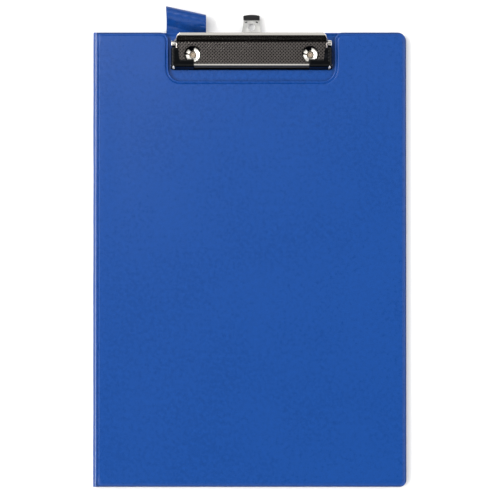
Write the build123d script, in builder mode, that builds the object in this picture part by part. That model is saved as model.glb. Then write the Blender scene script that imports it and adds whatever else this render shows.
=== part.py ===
# Fold-over clipboard folder for A4 paper, shut and lying on its back cover.
# Frame: +Z up out of the front cover, +Y towards the clip, +X away from the spine.
# The origin is the middle of the shut folder's outline, at the back cover's outer face.
from build123d import *
import math
import os

os.makedirs("parts", exist_ok=True)

# Folder outline and layers
folder_w = 230.0
folder_h = 333.5
skin_t = 0.4
board_t = 1.9
cover_t = board_t + 2 * skin_t
cover_gap = 0.4
weld_margin = 3.4
edge_round = 0.9
corner_top = 6.5
corner_bottom = 5.2
board_corner = 3.0
lap = 1.0

stack_t = 2 * cover_t + cover_gap
spine_r = stack_t / 2
half_h = folder_h / 2
panel_left = -folder_w / 2 + spine_r
panel_right = folder_w / 2
clip_x = (panel_left + panel_right) / 2

# Notch of the front cover that leaves the clip free
notch_half_w = 61.0
notch_depth = 35.6
notch_corner = 9.0
notch_lip = 6.2

# Inside pocket of the front cover
pocket_t = 0.3
pocket_low = -half_h + 2.0
pocket_high_left = 20.0
pocket_high_right = -40.0
pocket_side = 4.0

# Clip, in plan
sheet = 1.0
base_front = 139.3
base_rear = 165.4
base_half_w = 58.9
ear_out = 57.3
ear_step_y = 155.1
pivot_y = 158.3
pivot_z = cover_t + 4.2
ear_r = 2.6
base_corner = 2.0
base_rear_half_w = 52.5
ear_rear_y = 161.2
base_top = cover_t + sheet

# Pull-out hanging tab and the bridge of the base plate that guides it
tab_t = 0.8
tab_z = cover_t + 0.2
tab_tail_w = 16.6
tab_neck_w = 14.6
tab_end_w = 11.8
tab_tail_y = 159.2
tab_shoulder_y = 165.9
tab_neck_y = 166.7
tab_end_y = 178.6
tab_travel = 6.8
hole_y = 170.8
hole_r = 2.6
bridge_w = 19.4
bridge_gap = 1.2
bridge_front = 147.6
bridge_round = 0.7
channel_w = 17.0
channel_front = 148.8
slot_play = 0.15
tongue_w = 3.0
tongue_l = 1.4
slot_w = 3.6
peg_x = 3.9
peg_y = 174.4
peg_w = 1.7
peg_l = 0.9
peg_turn = 18
tip_w = 12.0
tip_front = 175.9
tip_rear = 179.0
tip_peak = 0.7
tip_low = cover_t - 0.3
tip_high = cover_t + 3.6
tip_corner = 0.6
tip_round = 0.5

# Rivets
rivet_dx = 43.1
rivet_y = 150.4
rivet_head_r = 5.5
rivet_head_t = 0.9
rivet_shank_r = 2.2
rivet_bore_r = 1.35
rivet_flange_r = 5.5
rivet_flange_t = 1.0
rivet_ring_r = 2.9
rivet_ring_t = 1.9
ring_round = 0.45
slit_w = 0.6
wide_slit_w = 1.6
slit_count = 5
first_slit_angle = 98
access_r = 6.1
fit = 0.05

# Pressure lever, as a bent sheet: places of its middle line in Y and Z
jaw_tip = (140.2, base_top + 1.45)
jaw_foot = (141.6, base_top + 1.9)
front_bend = (142.9, base_top + 5.4)
rear_bend = (159.7, base_top + 7.4)
lever_shoulder = (164.3, base_top + 11.15)
lever_lip = (165.9, base_top + 11.65)
bend_r = 1.6
lever_half_w = 55.9
jaw_half_w = 58.4
jaw_rear_y = 155.4
lever_corner = 5.0
cheek_r = 2.9
cheek_lap = 1.6
jaw_cheek_low = base_top + 1.2
jaw_cheek_rear_low = pivot_z - 0.6
jaw_cheek_slant = 2.2

# Rubber corner grips
grip_t = 0.75
grip_inner_x = 42.7
grip_arm_x = 53.0
grip_rear_y = 146.8
grip_lead = 0.55
grip_sink = 0.16
grip_end_lead = 1.2
grip_end_low = base_top + 0.38
grip_end_rear_low = base_top + 0.9

# Pivot rod and torsion springs
rod_r = 1.5
rod_fit = 0.08
ear_fit = 0.02
rod_head_r = 2.6
rod_head_t = 1.8
rod_head_round = 0.9
wire_r = 0.6
coil_r = pivot_z - base_top - wire_r
coil_turns = 5
coil_pitch = 1.75
coil_start_x = 15.0
lever_leg_tilt = 12.5
base_leg = 6.2
lever_leg = 5.6

# Pen loop at the top edge
loop_left = -61.3
loop_right = -31.9
loop_left_y = 179.8
loop_right_y = 173.9
loop_half_w = 6.5
loop_half_t = 4.6
loop_wall = 0.5
loop_z = 4.85
strap_t = 0.8
strap_in = 2.9
strap_left = -61.8
strap_shoulder_y = half_h + 3.0


def save(builder, name):
    builder.part.label = name
    export_step(builder.part, f"parts/{name}.step")


def panel_outline(inset, notched):
    """Outline of a cover, drawn in by inset, with the clip's notch if it is the front one."""
    left = panel_left + inset
    right = panel_right - inset
    top = half_h - inset
    with BuildSketch(mode=Mode.PRIVATE) as outline:
        with Locations(((left + right) / 2, 0)):
            Rectangle(right - left, 2 * top)
        right_corners = outline.vertices().group_by(Axis.X)[-1].sort_by(Axis.Y)
        fillet(right_corners[-1], radius=max(corner_top - inset, board_corner))
        right_corners = outline.vertices().sort_by(lambda v: v.X - v.Y)
        fillet(right_corners[-1], radius=max(corner_bottom - inset, board_corner))
        if notched:
            with Locations((clip_x, half_h)):
                RectangleRounded(
                    2 * (notch_half_w + inset),
                    2 * (notch_depth + inset),
                    notch_corner + inset,
                    mode=Mode.SUBTRACT,
                )
            at_top = outline.vertices().filter_by_position(Axis.Y, top - 0.01, top + 0.01)
            notch_span = (clip_x - notch_half_w - weld_margin, clip_x + notch_half_w + weld_margin)
            fillet(at_top.filter_by_position(Axis.X, *notch_span), radius=notch_lip)
    return outline.sketch


def slab(sketch, low, high, mode=Mode.ADD):
    """Adds or cuts a flat layer of the given outline between two heights."""
    extrude(Plane.XY.offset(low) * sketch, amount=high - low, mode=mode)


def half_shell(builder, outer_face_z):
    """Rounds the outer rim of a welded half shell, all round but at the spine."""
    rim = builder.faces().filter_by(Axis.Z).sort_by(lambda f: abs(f.center().Z - outer_face_z))[0].edges()
    rim = rim.filter_by(lambda e: e.center().X > panel_left + 0.1)
    fillet(rim, radius=edge_round)


def rivet_places():
    return [(clip_x - rivet_dx, rivet_y), (clip_x + rivet_dx, rivet_y)]


# Back cover: outer skin, board and inner lining, welded along the rim
weld_z = cover_t / 2
board_low = skin_t
board_high = skin_t + board_t

with BuildPart() as back_outer_skin:
    slab(panel_outline(0, False), 0, weld_z)
    half_shell(back_outer_skin, 0)
    slab(panel_outline(weld_margin, False), board_low, weld_z, Mode.SUBTRACT)
    with BuildSketch() as strap_seat:
        with Locations(((strap_left + loop_right) / 2, half_h - strap_in / 2)):
            Rectangle(loop_right - strap_left, strap_in)
    slab(strap_seat.sketch, weld_z - strap_t / 2, weld_z, Mode.SUBTRACT)
    with Locations(*rivet_places()):
        Hole(rivet_head_r + fit)
save(back_outer_skin, "back_outer_skin")

with BuildPart() as back_board:
    slab(panel_outline(weld_margin, False), board_low, board_high)
    with Locations(*rivet_places()):
        Hole(rivet_shank_r + fit)
    with BuildSketch(Plane.XY.offset(board_low)) as head_seats:
        with Locations(*rivet_places()):
            Circle(rivet_head_r + fit)
    extrude(amount=rivet_head_t + fit - board_low, mode=Mode.SUBTRACT)
save(back_board, "back_board")

with BuildPart() as back_inner_lining:
    slab(panel_outline(0, False), weld_z, cover_t)
    half_shell(back_inner_lining, cover_t)
    slab(panel_outline(weld_margin, False), weld_z, board_high, Mode.SUBTRACT)
    slab(strap_seat.sketch, weld_z, weld_z + strap_t / 2, Mode.SUBTRACT)
    with Locations(*rivet_places()):
        Hole(rivet_shank_r + fit)
save(back_inner_lining, "back_inner_lining")

# Front cover: the same three layers the other way up, with the notch round the clip
front_low = cover_t + cover_gap
front_weld_z = front_low + weld_z

with BuildPart() as front_outer_skin:
    slab(panel_outline(0, True), front_weld_z, stack_t)
    half_shell(front_outer_skin, stack_t)
    slab(panel_outline(weld_margin, True), front_weld_z, stack_t - skin_t, Mode.SUBTRACT)
save(front_outer_skin, "front_outer_skin")

with BuildPart() as front_board:
    slab(panel_outline(weld_margin, True), front_low + skin_t, stack_t - skin_t)
save(front_board, "front_board")

with BuildPart() as front_inner_lining:
    slab(panel_outline(0, True), front_low, front_weld_z)
    half_shell(front_inner_lining, front_low)
    slab(panel_outline(weld_margin, True), front_low + skin_t, front_weld_z, Mode.SUBTRACT)
save(front_inner_lining, "front_inner_lining")

with BuildPart() as inside_pocket:
    with BuildSketch(Plane.XY.offset(front_low - pocket_t)) as pocket_shape:
        with BuildLine():
            Polyline(
                (panel_left + pocket_side, pocket_low),
                (panel_right - pocket_side, pocket_low),
                (panel_right - pocket_side, pocket_high_right),
                (panel_left + pocket_side, pocket_high_left),
                close=True,
            )
        make_face()
        fillet(pocket_shape.vertices().group_by(Axis.X)[-1], radius=board_corner)
    extrude(amount=pocket_t)
save(inside_pocket, "inside_pocket")


# Spine: outer skin and lining, welded together and folded in a half round
def spine_band(outer_r):
    """A half tube along Y that bulges away from the covers."""
    with BuildSketch(Plane.XZ.offset(-half_h)) as band:
        with Locations((panel_left, spine_r)):
            Circle(outer_r)
            Circle(outer_r - skin_t, mode=Mode.SUBTRACT)
        with Locations((panel_left + outer_r, spine_r)):
            Rectangle(2 * outer_r, 3 * outer_r, mode=Mode.SUBTRACT)
    extrude(band.sketch, amount=folder_h)


with BuildPart() as spine_outer_skin:
    spine_band(spine_r)
save(spine_outer_skin, "spine_outer_skin")

with BuildPart() as spine_inner_lining:
    spine_band(spine_r - skin_t)
save(spine_inner_lining, "spine_inner_lining")

# Pen loop: a strip folded into a slanted tube, with its two ends welded into the rim
with BuildPart() as pen_loop:
    with BuildSketch(Plane.YZ.offset(loop_left)) as left_end:
        with Locations((loop_left_y, loop_z)):
            Ellipse(loop_half_w, loop_half_t)
    with BuildSketch(Plane.YZ.offset(loop_right)) as right_end:
        with Locations((loop_right_y, loop_z)):
            Ellipse(loop_half_w, loop_half_t)
    loft()
    near_side = loop_half_w * math.sqrt(1 - ((loop_z - weld_z) / loop_half_t) ** 2)
    with BuildSketch(Plane.XY.offset(weld_z - strap_t / 2)):
        with BuildLine():
            Polyline(
                (strap_left, half_h - strap_in),
                (loop_right, half_h - strap_in),
                (loop_right, loop_right_y - near_side + lap),
                (loop_left, loop_left_y - near_side + lap),
                (strap_left, strap_shoulder_y),
                close=True,
            )
        make_face()
    extrude(amount=strap_t)
    with BuildSketch(Plane.YZ.offset(loop_left)) as left_hole:
        with Locations((loop_left_y, loop_z)):
            Ellipse(loop_half_w - loop_wall, loop_half_t - loop_wall)
    with BuildSketch(Plane.YZ.offset(loop_right)) as right_hole:
        with Locations((loop_right_y, loop_z)):
            Ellipse(loop_half_w - loop_wall, loop_half_t - loop_wall)
    loft(mode=Mode.SUBTRACT)
save(pen_loop, "pen_loop")

# Clip base plate: flat, with ears turned up for the rod and a bridge over the hanging tab
bridge_top = cover_t + bridge_gap + sheet
with BuildPart() as clip_base_plate:
    with BuildSketch(Plane.XY.offset(cover_t)):
        with BuildLine():
            Polyline(
                (clip_x - base_half_w, base_front),
                (clip_x + base_half_w, base_front),
                (clip_x + base_half_w, ear_step_y),
                (clip_x + ear_out, ear_step_y),
                (clip_x + ear_out, ear_rear_y),
                (clip_x + base_rear_half_w, base_rear),
                (clip_x - base_rear_half_w, base_rear),
                (clip_x - ear_out, ear_rear_y),
                (clip_x - ear_out, ear_step_y),
                (clip_x - base_half_w, ear_step_y),
                close=True,
            )
        make_face()
    extrude(amount=sheet)
    fillet(clip_base_plate.edges().filter_by(Axis.Z).group_by(Axis.Y)[0], radius=base_corner)
    with BuildSketch(Plane.XY.offset(cover_t)):
        with Locations((clip_x, (bridge_front + base_rear) / 2)):
            Rectangle(bridge_w, base_rear - bridge_front)
    extrude(amount=bridge_top - cover_t)
    bridge_rim = clip_base_plate.faces().sort_by(Axis.Z)[-1].edges().filter_by(Axis.Y)
    fillet(bridge_rim, radius=bridge_round)
    with BuildSketch(Plane.XY.offset(cover_t)):
        with Locations((clip_x, (channel_front + base_rear + lap) / 2)):
            Rectangle(channel_w, base_rear + lap - channel_front)
    extrude(amount=bridge_gap, mode=Mode.SUBTRACT)
    slot_front = tab_tail_y - tab_travel - slot_play
    slot_rear = tab_tail_y + tongue_l + slot_play
    with BuildSketch(Plane.XY.offset(cover_t)):
        with Locations((clip_x, (slot_front + slot_rear) / 2)):
            Rectangle(slot_w, slot_rear - slot_front)
    extrude(amount=bridge_top, mode=Mode.SUBTRACT)
    for side in (-1, 1):
        with BuildSketch(Plane.YZ.offset(clip_x + side * (ear_out - sheet / 2))):
            with Locations((pivot_y, pivot_z)):
                Circle(ear_r)
            with Locations((pivot_y, (cover_t + pivot_z) / 2)):
                Rectangle(2 * ear_r, pivot_z - cover_t)
        extrude(amount=sheet / 2, both=True)
    with Locations(Plane.YZ.offset(clip_x) * Location((pivot_y, pivot_z, 0))):
        Hole(rod_r + ear_fit)
    with Locations(*rivet_places()):
        Hole(rivet_shank_r + fit)
save(clip_base_plate, "clip_base_plate")

# Rivets: flat head in the back cover, hollow shank, end split and rolled over the base plate
slit_l = rivet_flange_r - rivet_ring_r
for side, name in ((-1, "rivet_left"), (1, "rivet_right")):
    place = (clip_x + side * rivet_dx, rivet_y)
    with BuildPart() as rivet:
        with BuildSketch(Plane.XY.offset(fit)):
            with Locations(place):
                Circle(rivet_head_r)
        extrude(amount=rivet_head_t - fit)
        with BuildSketch(Plane.XY.offset(fit)):
            with Locations(place):
                Circle(rivet_shank_r)
        extrude(amount=base_top - fit)
        with BuildSketch(Plane.XY.offset(base_top)):
            with Locations(place):
                Circle(rivet_flange_r)
            with Locations(place):
                with PolarLocations(rivet_flange_r, slit_count, start_angle=first_slit_angle):
                    Rectangle(2 * slit_l, slit_w, mode=Mode.SUBTRACT)
                with PolarLocations(rivet_flange_r, 2, first_slit_angle, 360 / slit_count, endpoint=True):
                    Rectangle(2 * slit_l, wide_slit_w, mode=Mode.SUBTRACT)
        extrude(amount=rivet_flange_t)
        with BuildSketch(Plane.XY.offset(base_top)):
            with Locations(place):
                Circle(rivet_ring_r)
        extrude(amount=rivet_ring_t)
        fillet(rivet.faces().sort_by(Axis.Z)[-1].edges(), radius=ring_round)
        with BuildSketch(Plane.XY.offset(rivet_head_t)):
            with Locations(place):
                Circle(rivet_bore_r)
        extrude(amount=base_top, mode=Mode.SUBTRACT)
    save(rivet, name)


# Pressure lever: one bent sheet from the jaw to the thumb lip, with cheeks at its ends
def bent_sheet(points, width, left, right):
    """A sheet of the given thickness along a bent middle line, between two places in X."""
    with BuildSketch(Plane.YZ.offset(left)) as section:
        with BuildLine():
            FilletPolyline(*points, radius=bend_r)
        trace(line_width=width)
    extrude(section.sketch, amount=right - left)


def plate_z(y):
    """Height of the flat panel's middle line above a place in Y."""
    rise = (rear_bend[1] - front_bend[1]) / (rear_bend[0] - front_bend[0])
    return front_bend[1] + rise * (y - front_bend[0])


lever_line = [jaw_tip, jaw_foot, front_bend, rear_bend, lever_shoulder, lever_lip]
with BuildPart() as pressure_lever:
    bent_sheet(lever_line, sheet, clip_x - lever_half_w, clip_x + lever_half_w)
    jaw_line = [jaw_tip, jaw_foot, front_bend, (jaw_rear_y, plate_z(jaw_rear_y))]
    bent_sheet(jaw_line, sheet, clip_x - jaw_half_w, clip_x + jaw_half_w)
    for side in (-1, 1):
        with BuildSketch(Plane.YZ.offset(clip_x + side * (lever_half_w - sheet / 2))):
            with BuildLine():
                Polyline(
                    (pivot_y - cheek_r, pivot_z),
                    (jaw_rear_y - cheek_lap, plate_z(jaw_rear_y - cheek_lap)),
                    rear_bend,
                    lever_shoulder,
                    (pivot_y + cheek_r, pivot_z),
                    close=True,
                )
            make_face()
            with Locations((pivot_y, pivot_z)):
                Circle(cheek_r)
        extrude(amount=sheet / 2, both=True)
        with BuildSketch(Plane.YZ.offset(clip_x + side * (jaw_half_w - sheet / 2))):
            with BuildLine():
                Polyline(
                    (jaw_foot[0], jaw_cheek_low),
                    front_bend,
                    (jaw_rear_y, plate_z(jaw_rear_y)),
                    (jaw_rear_y, jaw_cheek_rear_low),
                    (jaw_rear_y - jaw_cheek_slant, jaw_cheek_low),
                    close=True,
                )
            make_face()
        extrude(amount=sheet / 2, both=True)
    with Locations(Plane.YZ.offset(clip_x) * Location((pivot_y, pivot_z, 0))):
        Hole(rod_r + rod_fit)
    with BuildSketch(Plane.XY.offset(front_bend[1] - 2 * sheet)):
        with Locations(*rivet_places()):
            Circle(access_r)
    extrude(amount=rear_bend[1] - front_bend[1] + 4 * sheet, mode=Mode.SUBTRACT)
    lip_edge = lever_lip[0] + sheet / 2
    with BuildSketch(Plane.XY.offset(cover_t)):
        for side in (-1, 1):
            corner_x = clip_x + side * lever_half_w
            with Locations((corner_x, lip_edge)):
                Rectangle(2 * lever_corner, 2 * lever_corner)
            with Locations((corner_x - side * lever_corner, lip_edge - lever_corner)):
                Circle(lever_corner, mode=Mode.SUBTRACT)
    extrude(amount=lever_lip[1] + sheet, mode=Mode.SUBTRACT)
save(pressure_lever, "pressure_lever")

# Rubber corner grips, pushed over the ends of the jaw
grip_line = [
    (jaw_tip[0] - grip_lead, jaw_tip[1] - grip_sink),
    jaw_foot,
    front_bend,
    (grip_rear_y, plate_z(grip_rear_y)),
]
arm_line = [jaw_foot, front_bend, (jaw_rear_y, plate_z(jaw_rear_y))]
grip_width = sheet + 2 * grip_t
for side, name in ((-1, "grip_left"), (1, "grip_right")):
    outer = clip_x + side * (jaw_half_w + grip_t)
    inner = clip_x + side * grip_inner_x
    arm = clip_x + side * grip_arm_x
    with BuildPart() as grip:
        bent_sheet(grip_line, grip_width, min(outer, inner), max(outer, inner))
        bent_sheet(arm_line, grip_width, min(outer, arm), max(outer, arm))
        with BuildSketch(Plane.YZ.offset(clip_x + side * (jaw_half_w + grip_t / 2))):
            with BuildLine():
                Polyline(
                    (jaw_foot[0] - grip_end_lead, grip_end_low),
                    front_bend,
                    (jaw_rear_y, plate_z(jaw_rear_y)),
                    (jaw_rear_y, jaw_cheek_rear_low),
                    (jaw_rear_y - jaw_cheek_slant, grip_end_rear_low),
                    close=True,
                )
            make_face()
        extrude(amount=grip_t / 2, both=True)
        add(pressure_lever.part, mode=Mode.SUBTRACT)
    save(grip, name)

# Pivot rod, with both ends peened over the ears
with BuildPart() as pivot_rod:
    with BuildSketch(Plane.YZ.offset(clip_x - ear_out - rod_head_t)):
        with Locations((pivot_y, pivot_z)):
            Circle(rod_r)
    extrude(amount=2 * (ear_out + rod_head_t))
    for side in (-1, 1):
        with BuildSketch(Plane.YZ.offset(clip_x + side * (ear_out + rod_head_t / 2))):
            with Locations((pivot_y, pivot_z)):
                Circle(rod_head_r)
        extrude(amount=rod_head_t / 2, both=True)
    end_rims = pivot_rod.faces().sort_by(Axis.X)
    fillet(end_rims[0].edges() + end_rims[-1].edges(), radius=rod_head_round)
save(pivot_rod, "pivot_rod")


# Torsion springs: each an unbroken wire, wound on the rod between two legs
def coil_point(angle, start_x, advance):
    """Place on the winding; the angle runs in radians from the base leg's tangent point."""
    y = pivot_y - coil_r * math.sin(angle)
    z = pivot_z - coil_r * math.cos(angle)
    return Vector(start_x + advance * angle / (2 * math.pi), y, z)


def coil_tangent(angle, advance):
    lead = advance / (2 * math.pi)
    return Vector(lead, -coil_r * math.cos(angle), coil_r * math.sin(angle)).normalized()


def biarc_joint(p0, t0, p1, t1):
    """Point where two arcs, tangent to t0 at p0 and to t1 at p1, meet smoothly."""
    v = p1 - p0
    t = t0 + t1
    b = v.dot(t)
    a = 2 * (1 - t0.dot(t1))
    d = (-b + math.sqrt(b * b + a * v.dot(v))) / a
    return (p0 + p1 + (t0 - t1) * d) * 0.5


total_angle = 2 * math.pi * coil_turns + math.pi - math.radians(lever_leg_tilt)
spans = 4 * coil_turns + 2
for side, name in ((-1, "spring_left"), (1, "spring_right")):
    start_x = clip_x + side * coil_start_x
    advance = side * coil_pitch
    with BuildPart() as spring:
        with BuildLine() as wire:
            point = coil_point(0, start_x, advance)
            tangent = coil_tangent(0, advance)
            Line(point - tangent * base_leg, point)
            for span in range(spans):
                after = coil_point((span + 1) * total_angle / spans, start_x, advance)
                tangent_after = coil_tangent((span + 1) * total_angle / spans, advance)
                middle = biarc_joint(point, tangent, after, tangent_after)
                first = TangentArc(point, middle, tangent=tangent)
                TangentArc(middle, after, tangent=first % 1)
                point = after
                tangent = tangent_after
            Line(point, point + tangent * lever_leg)
        with BuildSketch(Plane(wire.line @ 0, z_dir=wire.line % 0)):
            Circle(wire_r)
        sweep()
    save(spring, name)

coil_gap = coil_pitch - 2 * wire_r
print(f"least gap between the spring's curls: {coil_gap:.2f} mm")

# Hanging tab: a flat steel tongue that slides in the bridge, with a hole for a nail
with BuildPart() as hanging_tab:
    with BuildSketch(Plane.XY.offset(tab_z)) as tab_shape:
        with BuildLine():
            Polyline(
                (clip_x - tab_tail_w / 2, tab_tail_y),
                (clip_x + tab_tail_w / 2, tab_tail_y),
                (clip_x + tab_tail_w / 2, tab_shoulder_y),
                (clip_x + tab_neck_w / 2, tab_neck_y),
                (clip_x + tab_end_w / 2, peg_y),
                (clip_x + tab_end_w / 2, tab_end_y),
                (clip_x - tab_end_w / 2, tab_end_y),
                (clip_x - tab_end_w / 2, peg_y),
                (clip_x - tab_neck_w / 2, tab_neck_y),
                (clip_x - tab_tail_w / 2, tab_shoulder_y),
                close=True,
            )
        make_face()
        with Locations((clip_x, hole_y)):
            Circle(hole_r, mode=Mode.SUBTRACT)
        for side in (-1, 1):
            with Locations((clip_x + side * peg_x, peg_y)):
                Rectangle(peg_w, peg_l, rotation=-peg_turn * side, mode=Mode.SUBTRACT)
    extrude(amount=tab_t)
    with BuildSketch(Plane.XY.offset(tab_z)):
        with Locations((clip_x, tab_tail_y + tongue_l / 2)):
            Rectangle(tongue_w, tongue_l)
    extrude(amount=bridge_top - tab_z)
save(hanging_tab, "hanging_tab")

# Finger tip of the tab: moulded over its end, with two pegs through the tab's slots
with BuildPart() as hanging_tab_tip:
    with BuildSketch(Plane.XY.offset(tip_low)) as tip_shape:
        with BuildLine():
            Polyline(
                (clip_x - tip_w / 2, tip_front),
                (clip_x + tip_w / 2, tip_front),
                (clip_x + tip_w / 2, tip_rear),
            )
            ThreePointArc(
                (clip_x + tip_w / 2, tip_rear),
                (clip_x, tip_rear + tip_peak),
                (clip_x - tip_w / 2, tip_rear),
            )
            Line((clip_x - tip_w / 2, tip_rear), (clip_x - tip_w / 2, tip_front))
        make_face()
    extrude(amount=tip_high - tip_low)
    fillet(hanging_tab_tip.edges().filter_by(Axis.Z), radius=tip_corner)
    fillet(hanging_tab_tip.faces().sort_by(Axis.Z)[-1].edges(), radius=tip_round)
    for side in (-1, 1):
        with BuildSketch(Plane.XY.offset(tip_low)):
            with Locations((clip_x + side * peg_x, peg_y)):
                Rectangle(peg_w, peg_l, rotation=-peg_turn * side)
        extrude(amount=tab_z + tab_t - tip_low)
    with BuildSketch(Plane.XY.offset(tip_low)):
        with Locations((clip_x, (peg_y + tip_front) / 2)):
            Rectangle(2 * (peg_x + peg_w / 2), tip_front - peg_y + lap)
    extrude(amount=tab_z - tip_low)
    add(hanging_tab.part, mode=Mode.SUBTRACT)
save(hanging_tab_tip, "hanging_tab_tip")
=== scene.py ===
import math

import bmesh
import bpy
import numpy as np
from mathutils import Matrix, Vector
from mathutils.geometry import delaunay_2d_cdt


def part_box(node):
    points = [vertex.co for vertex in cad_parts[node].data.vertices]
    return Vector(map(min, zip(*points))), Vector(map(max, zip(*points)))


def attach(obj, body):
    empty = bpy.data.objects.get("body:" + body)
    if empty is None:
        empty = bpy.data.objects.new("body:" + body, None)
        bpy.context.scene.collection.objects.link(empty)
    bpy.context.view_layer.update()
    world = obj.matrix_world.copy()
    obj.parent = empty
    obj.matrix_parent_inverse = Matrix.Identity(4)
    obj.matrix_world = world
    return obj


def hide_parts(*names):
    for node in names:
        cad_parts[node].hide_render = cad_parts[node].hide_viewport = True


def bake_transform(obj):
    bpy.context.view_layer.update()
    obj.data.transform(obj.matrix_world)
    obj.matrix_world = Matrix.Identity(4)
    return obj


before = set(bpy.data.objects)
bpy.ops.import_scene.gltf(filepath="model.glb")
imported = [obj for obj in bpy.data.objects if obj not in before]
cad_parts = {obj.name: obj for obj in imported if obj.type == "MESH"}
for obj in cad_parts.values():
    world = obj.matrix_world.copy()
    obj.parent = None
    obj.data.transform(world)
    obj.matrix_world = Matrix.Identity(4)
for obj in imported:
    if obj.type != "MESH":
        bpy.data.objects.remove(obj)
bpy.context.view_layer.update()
mm = 0.001

# Covers: each is a grey board shut between an outer skin and a lining of soft PVC foil. The foils
# are welded to each other along the margin that the board leaves free: the weld presses a groove
# beside the board, and outside it the cut edge stands up as a rounded bead.
back_low, back_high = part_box("back_outer_skin")
front_low, front_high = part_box("front_outer_skin")
lining_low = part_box("front_inner_lining")[0]
half_cover = back_high.z
back_weld_z = back_high.z
front_weld_z = front_low.z
spine_x = back_low.x
right_x = back_high.x
half_h = back_high.y
clip_x = (spine_x + right_x) / 2
board_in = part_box("back_board")[0].x - spine_x
board_half = (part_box("back_board")[1].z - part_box("back_board")[0].z) / 2
notch_half_w = 61 * mm
notch_bottom = half_h - 35.6 * mm
rivet_x = clip_x - (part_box("rivet_left")[0].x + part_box("rivet_left")[1].x) / 2
rivet_y = (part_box("rivet_left")[0].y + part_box("rivet_left")[1].y) / 2
rivet_seat_r = 5.6 * mm
pvc_blue = (0.004, 0.0570, 0.276)
lining_blue = (0.003, 0.059, 0.284)


class Socket:
    """A value in a material. Python's operators add Math nodes, and node() adds any other kind."""

    def __init__(self, tree, end=None):
        self.tree = tree
        self.end = end

    def node(self, kind, settings, sockets, out=0):
        """Adds a node: its settings first, a ramp's stops among them, then its inputs' values or links."""
        made = self.tree.nodes.new("ShaderNode" + kind)
        for name, value in settings.items():
            if name == "stops":
                ramp = made.color_ramp
                for place, shade in value[1:-1]:
                    ramp.elements.new(place).color = (*shade, 1)
                ramp.elements[0].position = value[0][0]
                ramp.elements[0].color = (*value[0][1], 1)
                ramp.elements[-1].position = value[-1][0]
                ramp.elements[-1].color = (*value[-1][1], 1)
            else:
                setattr(made, name, value)
        for name, value in sockets.items():
            if isinstance(value, Socket):
                self.tree.links.new(value.end, made.inputs[name])
            else:
                made.inputs[name].default_value = value
        return Socket(self.tree, made.outputs[out])

    def maths(self, operation, first, second=0.0):
        return self.node("Math", {"operation": operation}, {0: first, 1: second})

    def __add__(self, other):
        return self.maths("ADD", self, other)

    def __sub__(self, other):
        return self.maths("SUBTRACT", self, other)

    def __mul__(self, other):
        return self.maths("MULTIPLY", self, other)

    def __truediv__(self, other):
        return self.maths("DIVIDE", self, other)

    def __pow__(self, other):
        return self.maths("POWER", self, other)

    def __rsub__(self, other):
        return self.maths("SUBTRACT", other, self)

    __radd__ = __add__
    __rmul__ = __mul__

    def step(self, low, high):
        """0 below low, 1 above high and a smooth step between them."""
        settings = {"interpolation_type": "SMOOTHSTEP"}
        return self.node("MapRange", settings, {0: self, 1: low, 2: high})

    def blend(self, first, second):
        """A colour that turns from first to second as this value goes from 0 to 1."""
        sockets = {0: self, 6: first, 7: second}
        return self.node("Mix", {"data_type": "RGBA"}, sockets, out=2)


def new_finish(name, **constants):
    """A material, its shader node and the place on the object, ready for the finish's own nodes."""
    finish = bpy.data.materials.new(name)
    finish.use_nodes = True
    tree = finish.node_tree
    shader = tree.nodes["Principled BSDF"]
    for socket, value in constants.items():
        shader.inputs[socket.replace("_", " ")].default_value = value
    place = Socket(tree).node("TexCoord", {}, {}, out=3)
    return finish, shader, place


def set_inputs(finish, shader, **varying):
    """Links what changes over the surface to the shader's own sockets."""
    for socket, value in varying.items():
        finish.node_tree.links.new(value.end, shader.inputs[socket.replace("_", " ")])


def rgba(colour, factor=1.0):
    return (*(factor * part for part in colour), 1.0)


def pvc_finish(name, colour, grain_depth, gloss=0.20, specular=0.36, cut=False):
    """Soft PVC foil: fine embossed grain, a slightly uneven gloss and a faint cloud in the colour. Where it
    is cut, it is dull along the cover's outer edges, and darker there by painted shade."""
    finish, shader, place = new_finish(name, Specular_IOR_Level=specular)
    cells = {"Vector": place, "Scale": 1150, "Smoothness": 0.6}
    pores = place.node("TexVoronoi", {"feature": "SMOOTH_F1"}, cells)
    fine = place.node("TexNoise", {}, {"Vector": place, "Scale": 2100, "Detail": 3})
    cloud = place.node("TexNoise", {}, {"Vector": place, "Scale": 16, "Detail": 4})
    blotch = place.node("TexNoise", {}, {"Vector": place, "Scale": 330, "Detail": 4})
    grain = pores * 0.7 + fine * 0.5
    shade = (cloud * 0.14 + blotch * 0.42 + grain * 0.44).step(0.2, 0.9)
    tint = shade.blend(rgba(colour, 0.77), rgba(colour, 1.21))
    rough = gloss + cloud * 0.05 + blotch * 0.05 + fine * 0.06
    if cut:
        x, y = (place.node("SeparateXYZ", {}, {0: place}, out=i) for i in range(2))
        margin = place.maths("MINIMUM", right_x - x, half_h - place.maths("ABSOLUTE", y))
        # Painted shade: the colour darkens within about 1.5 mm of the cover's outer edges.
        rim = 1 - margin.step(0.7 * mm, 1.5 * mm)
        tint = rim.blend(tint, rgba(colour, 0.58))
        rough = rough + rim * 0.35
    relief = place.node("Bump", {}, {"Strength": 0.8, "Distance": grain_depth, "Height": grain})
    set_inputs(finish, shader, Base_Color=tint, Roughness=rough, Normal=relief)
    return finish


def grid_faces(rows, columns, close_rows=False, close_columns=False):
    """Quads of a grid of points stored row after row; a closed way joins its last line to its first."""
    row = np.arange(rows if close_rows else rows - 1)[:, None]
    column = np.arange(columns if close_columns else columns - 1)[None, :]
    next_row = (row + 1) % rows
    next_column = (column + 1) % columns
    corners = (
        row * columns + column,
        row * columns + next_column,
        next_row * columns + next_column,
        next_row * columns + column,
    )
    return np.stack(np.broadcast_arrays(*corners), axis=-1).reshape(-1, 4)


def tube_faces(rings, sides):
    """Faces of a tube stored ring after ring, shut by a flat face at each end."""
    ends = [list(range(sides)), list(range(sides * (rings - 1), sides * rings))]
    return grid_faces(rings, sides, close_columns=True).tolist() + ends


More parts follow.
